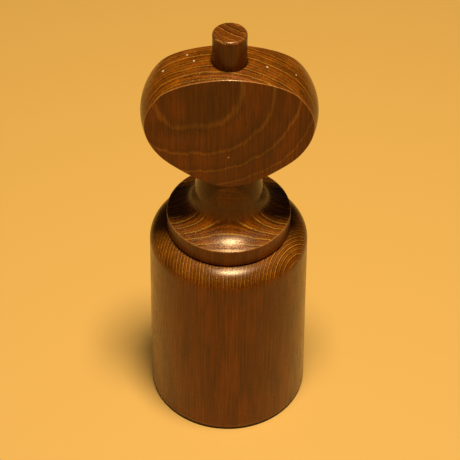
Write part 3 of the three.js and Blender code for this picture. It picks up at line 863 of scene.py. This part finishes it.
def make_foot_flange():
    bottom, top = low("foot_flange").z, RECESS_DEPTH - GAP
    outer, sleeve_top = high("foot_flange").x, high("foot_flange").z
    corners = [
        (FOOT_FLANGE_INNER_RADIUS, bottom, 0.25),
        (outer, bottom, 0.35),
        (outer, top, 0.25),
        (GRINDER_RADIUS, top, 0.4),
        (GRINDER_RADIUS, sleeve_top, 0.3),
        (SLEEVE_INNER_RADIUS, sleeve_top, 0.3),
        (SLEEVE_INNER_RADIUS, top, 0.3),
        (FOOT_FLANGE_INNER_RADIUS, top, 0.25),
    ]
    flange = turned_ring("pressed_foot_flange", corners, 192)
    flange = drill(flange, eased_holes(bottom, top, FOOT_SCREW_CIRCLE))
    settle(flange, "foot_flange", "bright_steel")


DISC_TURN, HUB_TURN = 0.005, 0.013  # radians


def bridge_windows(inner_radius, hub_radius, bottom, top):
    """A cutter for the two half-moon windows beside a bridge's bar.

    Its round parts are turned a little, so that no edge of theirs crosses an edge of the plate.
    """
    disc = round_bar("windows", inner_radius, bottom - 1, top + 1, 160)
    hub = round_bar("hub", hub_radius, bottom - 2, top + 2, 96)
    disc.data.transform(Matrix.Rotation(DISC_TURN, 4, "Z"))
    hub.data.transform(Matrix.Rotation(HUB_TURN, 4, "Z"))
    bar = box_bar("bar", 2 * inner_radius + 2, BRIDGE_BAR_WIDTH, bottom - 2, top + 2)
    return drill(disc, [bar, hub])


def make_bridge(name, node, hole, hub_radius, inner_radius):
    """A ring with a bar across it and a round hub in the bar, which may stand out below it."""
    hub_bottom, top = low(node).z, high(node).z
    bottom = top - BRIDGE_THICKNESS
    corners = [(hole, hub_bottom, 0.2)]
    if hub_bottom < bottom - FLUSH:
        corners += [(hub_radius, hub_bottom, 0.25), (hub_radius, bottom, 0.3)]
    corners += [(GRINDER_RADIUS, bottom, 0.25), (GRINDER_RADIUS, top, 0.25), (hole, top, 0.2)]
    bridge = drill(turned_ring(name, corners, 192), [bridge_windows(inner_radius, hub_radius, bottom, top)])
    settle(bridge, node, "plate_steel")


def make_guide_bush():
    bottom, top = low("guide_bush").z, high("guide_bush").z
    flange_radius, under_flange = high("guide_bush").x, top - BUSH_FLANGE_THICKNESS
    corners = [
        (BUSH_INNER_RADIUS, bottom, 0.25),
        (BUSH_OUTER_RADIUS, bottom, 0.2),
        (BUSH_OUTER_RADIUS, under_flange, 0.1),
        (flange_radius, under_flange, 0.2),
        (flange_radius, top, 0.3),
        (BUSH_INNER_RADIUS, top, 0.25),
    ]
    settle(turned_ring("turned_guide_bush", corners, 128), "guide_bush", "brass")


def make_grinder_ring():
    bottom, top = low("grinder_ring").z, high("grinder_ring").z
    heights = (bottom - 1, RING_WAIST_HEIGHT, top + 1)
    inside = []
    for height in np.linspace(top, bottom, 40):
        radius = np.interp(height, heights, RING_RADII)
        turn = np.interp(height, heights, RING_TWIST)
        inside.append((toothed(radius, RING_TOOTH_DEPTH, RING_TEETH, turn), height))
    outside = rounded([
        (RING_FACE_RADIUS, bottom),
        (GRINDER_RADIUS, bottom, 0.4),
        (GRINDER_RADIUS, top, 0.4),
        (RING_FACE_RADIUS, top),
    ])
    ring = loft("grinder_ring_burr", outside + inside, 12 * RING_TEETH, closed=True)
    settle(ring, "grinder_ring", "burr_steel")


def make_grinder_cone():
    bottom, top = low("grinder_cone").z, high("grinder_cone").z
    stud_bore, stud_bore_top = STUD_RADIUS + 2 * GAP, STUD_TOP + GAP
    ball_bore, ball_bore_top = BALL_RADIUS + GAP, stud_bore_top + 2 * BALL_RADIUS + GAP
    socket, socket_bottom = square(SHAFT_HOLE_HALF), ball_bore_top + CONE_WEB
    bore_ease, socket_ease = 0.2, 0.3
    levels = [
        (0, ball_bore_top), (ball_bore, ball_bore_top), (ball_bore, stud_bore_top),
        (stud_bore, stud_bore_top), (stud_bore, bottom + bore_ease), (stud_bore + bore_ease, bottom),
    ]
    heights = (bottom, *CONE_BREAKS, top)
    for height in np.linspace(bottom, top, 48):
        radius = np.interp(height, heights, CONE_RADII)
        turn = np.interp(height, heights, CONE_TWIST)
        levels.append((toothed(radius, CONE_TOOTH_DEPTH, CONE_TEETH, turn), height))
    levels += [
        (square(SHAFT_HOLE_HALF + socket_ease), top), (socket, top - socket_ease),
        (socket, socket_bottom), (0, socket_bottom),
    ]
    cone = loft("grinder_cone_burr", levels, 20 * CONE_TEETH)
    settle(cone, "grinder_cone", "burr_steel")


def make_spring():
    """A compression spring of round wire whose end coils flatten out on their seats."""
    seat, cap = high("grinder_cone").z, low("drive_washer").z
    radius = high("spring").x - SPRING_WIRE_RADIUS
    sides, steps = 16, 72 * SPRING_TURNS
    t = np.linspace(0, 1, steps + 1)
    angle = 2 * math.pi * SPRING_TURNS * t
    end_flattening = 0.6
    climb = t - end_flattening * np.sin(2 * math.pi * t) / (2 * math.pi)
    first, last = seat + SPRING_WIRE_RADIUS + GAP / 2, cap - SPRING_WIRE_RADIUS - GAP / 2
    height = first + (last - first) * climb
    vertices, faces = [], []
    for a, h in zip(angle, height):
        for k in range(sides):
            b = 2 * math.pi * k / sides
            r = radius + SPRING_WIRE_RADIUS * math.cos(b)
            vertices.append((r * math.cos(a), r * math.sin(a), h + SPRING_WIRE_RADIUS * math.sin(b)))
    for i in range(steps):
        for k in range(sides):
            m = (k + 1) % sides
            faces.append((i * sides + k, (i + 1) * sides + k, (i + 1) * sides + m, i * sides + m))
    faces.append(tuple(range(sides)))
    faces.append(tuple(steps * sides + k for k in reversed(range(sides))))
    spring = finish_mesh(add_mesh("coil_spring", vertices, faces))
    settle(spring, "spring", "spring_steel")
    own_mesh(spring)


def make_washer():
    bottom, top, radius = low("drive_washer").z, high("drive_washer").z, high("drive_washer").x
    inner = SHAFT_HOLE_HALF + 2
    outside = [(inner, bottom), (radius, bottom, 0.2), (radius, top, 0.2), (inner, top)]
    settle(square_bored("square_hole_washer", outside), "drive_washer", "bright_steel")


def make_ball():
    bottom = low("thrust_ball").z
    levels = []
    for angle in np.linspace(0, math.pi, 25):
        levels.append((BALL_RADIUS * math.sin(angle), bottom + BALL_RADIUS * (1 - math.cos(angle))))
    settle(loft("steel_ball", levels, 48), "thrust_ball", "bright_steel")


def make_head_plate():
    bottom, top, radius = low("head_plate").z, high("head_plate").z, high("head_plate").y
    inner = SHAFT_HOLE_HALF + 2
    outside = [(inner, bottom), (radius, bottom, 0.3), (radius, top, 0.2), (inner, top)]
    plate = drill(square_bored("head_cover_plate", outside, 144), eased_holes(bottom, top, HEAD_SCREW_CIRCLE))
    settle(plate, "head_plate", "bright_steel")


def cross_bar(name, radius, length, ease=0.0):
    """A round bar lying along X at the height of the shaft pin."""
    half = length / 2
    corners = [(0, -half), (radius, -half, ease), (radius, half, ease), (0, half)]
    bar = loft(name, rounded(corners), 40)
    pin_height = (low("shaft_pin").z + high("shaft_pin").z) / 2
    lying = Matrix.Rotation(math.radians(90), 4, "Y")
    bar.data.transform(Matrix.Translation((0, 0, pin_height * MM)) @ lying)
    return bar


def make_ferrule():
    bottom, top, radius = low("drive_ferrule").z, high("drive_ferrule").z, high("drive_ferrule").x
    inner = SHAFT_HOLE_HALF + 1.5
    outside = [(inner, bottom), (radius, bottom, 0.4), (radius, top, 0.4), (inner, top)]
    ferrule = square_bored("brass_ferrule", outside, 128)
    ferrule = drill(ferrule, [cross_bar("hole", PIN_RADIUS + GAP, 2 * radius + 2)])
    settle(ferrule, "drive_ferrule", "brass")


def make_shaft():
    bottom, top, half = low("drive_shaft").z, high("drive_shaft").z, high("drive_shaft").y
    chamfer = 0.5
    side, end = square(half), square(half - chamfer)
    levels = [
        (0, bottom), (end, bottom), (side, bottom + chamfer),
        (side, top - chamfer), (end, top), (0, top),
    ]
    shaft = loft("square_drive_shaft", levels, 96)
    shaft = drill(shaft, [cross_bar("hole", PIN_RADIUS + GAP, 2 * half + 2)])
    settle(shaft, "drive_shaft", "drawn_steel")
    length = high("shaft_pin").x - low("shaft_pin").x
    settle(cross_bar("steel_cross_pin", PIN_RADIUS, length, 0.3), "shaft_pin", "bright_steel")


def make_adjusting_screw():
    node = "adjusting_screw"
    bottom, top, radius = low(node).z, high(node).z, high(node).x
    knurl_top = bottom + KNURL_HEIGHT
    ease = 0.5
    face_radius = radius - 1.6
    edge = knurled(radius - ease, 0.25, KNURL_RIDGES)
    eased_knurl = knurled(radius - 0.12, KNURL_DEPTH, KNURL_RIDGES)
    levels = [(0, bottom), (face_radius, bottom), (edge, bottom + 0.1), (eased_knurl, bottom + ease)]
    for height in np.linspace(bottom + ease + 0.3, knurl_top - ease - 0.3, 6):
        levels.append((knurled(radius, KNURL_DEPTH, KNURL_RIDGES), height))
    levels += [
        (eased_knurl, knurl_top - ease), (edge, knurl_top - 0.1), (face_radius, knurl_top),
        (STUD_RADIUS + 0.3, knurl_top), (STUD_RADIUS, knurl_top + 0.3),
    ]
    for height in np.arange(knurl_top + 0.6, top - 0.5, THREAD_PITCH / 8):
        levels.append((threaded(STUD_RADIUS, THREAD_DEPTH, height, THREAD_PITCH), height))
    levels += [(STUD_RADIUS - 0.45, top - 0.3), (STUD_RADIUS - 0.8, top), (0, top)]
    screw = loft("knurled_adjusting_screw", levels, 8 * KNURL_RIDGES)
    coin_slot = box_bar("slot", 2 * radius + 2, COIN_SLOT_WIDTH, bottom - 1, bottom + COIN_SLOT_DEPTH)
    settle(drill(screw, [coin_slot]), node, "brass")


# ---------- stage, light and camera, in metres ----------
FLOOR_SIDE = 4.0
FLOOR_COLOUR = (0.83, 0.485, 0.103, 1)
LAMP_TARGET = (0, 0, 0.1)
LAMP_DIRECTION = (0.046, -0.10, 0.99)
LAMP_DISTANCE = 0.8
LAMP_DIAMETER = 0.19
LAMP_WATTS = 8.9
LAMP_COLOUR = (1.0, 0.86, 0.68)
WORLD_COLOUR = (1.0, 0.78, 0.45, 1)
WORLD_STRENGTH = 0.035
CAMERA_ELEVATION = 44.87  # degrees above the horizon
CAMERA_DISTANCE = 0.6284
CAMERA_TARGET = (0.0005, 0.0, 0.0790)
CAMERA_ROLL = 0.41  # degrees
FOCAL_PIXELS = 1710
IMAGE_SIDE = 460  # pixels
SENSOR_WIDTH = 36  # mm


def make_stage():
    corners = np.array([(-1, -1, 0), (1, -1, 0), (1, 1, 0), (-1, 1, 0)]) * FLOOR_SIDE / 2 / MM
    floor = add_mesh("floor", corners, [(0, 1, 2, 3)])
    n = Nodes("floor")
    n.put(n.shader, "Base Color", FLOOR_COLOUR)
    n.put(n.shader, "Roughness", 0.6)
    floor.data.materials.append(n.material)


def aimed(obj, position, target):
    """Adds a lamp or camera to the scene at a position, pointing at a target."""
    obj.location = Vector(position)
    obj.rotation_euler = (Vector(target) - Vector(position)).to_track_quat("-Z", "Y").to_euler()
    bpy.context.scene.collection.objects.link(obj)
    return obj


def make_lights():
    light = bpy.data.lights.new("overhead", "AREA")
    light.shape = "DISK"
    light.size = LAMP_DIAMETER
    light.energy = LAMP_WATTS
    light.color = LAMP_COLOUR
    position = Vector(LAMP_TARGET) + LAMP_DISTANCE * Vector(LAMP_DIRECTION).normalized()
    aimed(bpy.data.objects.new("overhead", light), position, LAMP_TARGET)
    world = bpy.data.worlds.new("studio")
    world.use_nodes = True
    background = world.node_tree.nodes["Background"]
    background.inputs["Color"].default_value = WORLD_COLOUR
    background.inputs["Strength"].default_value = WORLD_STRENGTH
    bpy.context.scene.world = world


def make_camera():
    camera = bpy.data.cameras.new("camera")
    camera.sensor_width = SENSOR_WIDTH
    camera.lens = FOCAL_PIXELS / IMAGE_SIDE * camera.sensor_width
    camera.clip_start = 0.01
    elevation = math.radians(CAMERA_ELEVATION)
    target = Vector(CAMERA_TARGET)
    away = CAMERA_DISTANCE * Vector((0, -math.cos(elevation), math.sin(elevation)))
    position = Vector((0, target.y, target.z)) + away
    obj = aimed(bpy.data.objects.new("camera", camera), position, target)
    roll = Matrix.Rotation(math.radians(CAMERA_ROLL), 3, "Z")
    obj.rotation_euler = (obj.rotation_euler.to_matrix() @ roll).to_euler()
    bpy.context.scene.camera = obj
    bpy.context.scene.view_settings.view_transform = "Standard"


make_camera()
make_stage()
make_lights()
make_body()
make_head()
make_peg()
make_screws("foot_screw", (20, 75, 140))
make_screws("head_screw", (60, 10, 115))
make_foot_flange()
make_bridge(
    "lower_bridge_plate", "lower_bridge",
    STUD_RADIUS + GAP, LOWER_BRIDGE_HUB_RADIUS, LOWER_BRIDGE_INNER_RADIUS,
)
make_bridge(
    "upper_bridge_plate", "upper_bridge",
    BUSH_OUTER_RADIUS + GAP, UPPER_BRIDGE_HUB_RADIUS, UPPER_BRIDGE_INNER_RADIUS,
)
make_guide_bush()
make_grinder_ring()
make_grinder_cone()
make_spring()
make_washer()
make_ball()
make_head_plate()
make_ferrule()
make_shaft()
make_adjusting_screw()
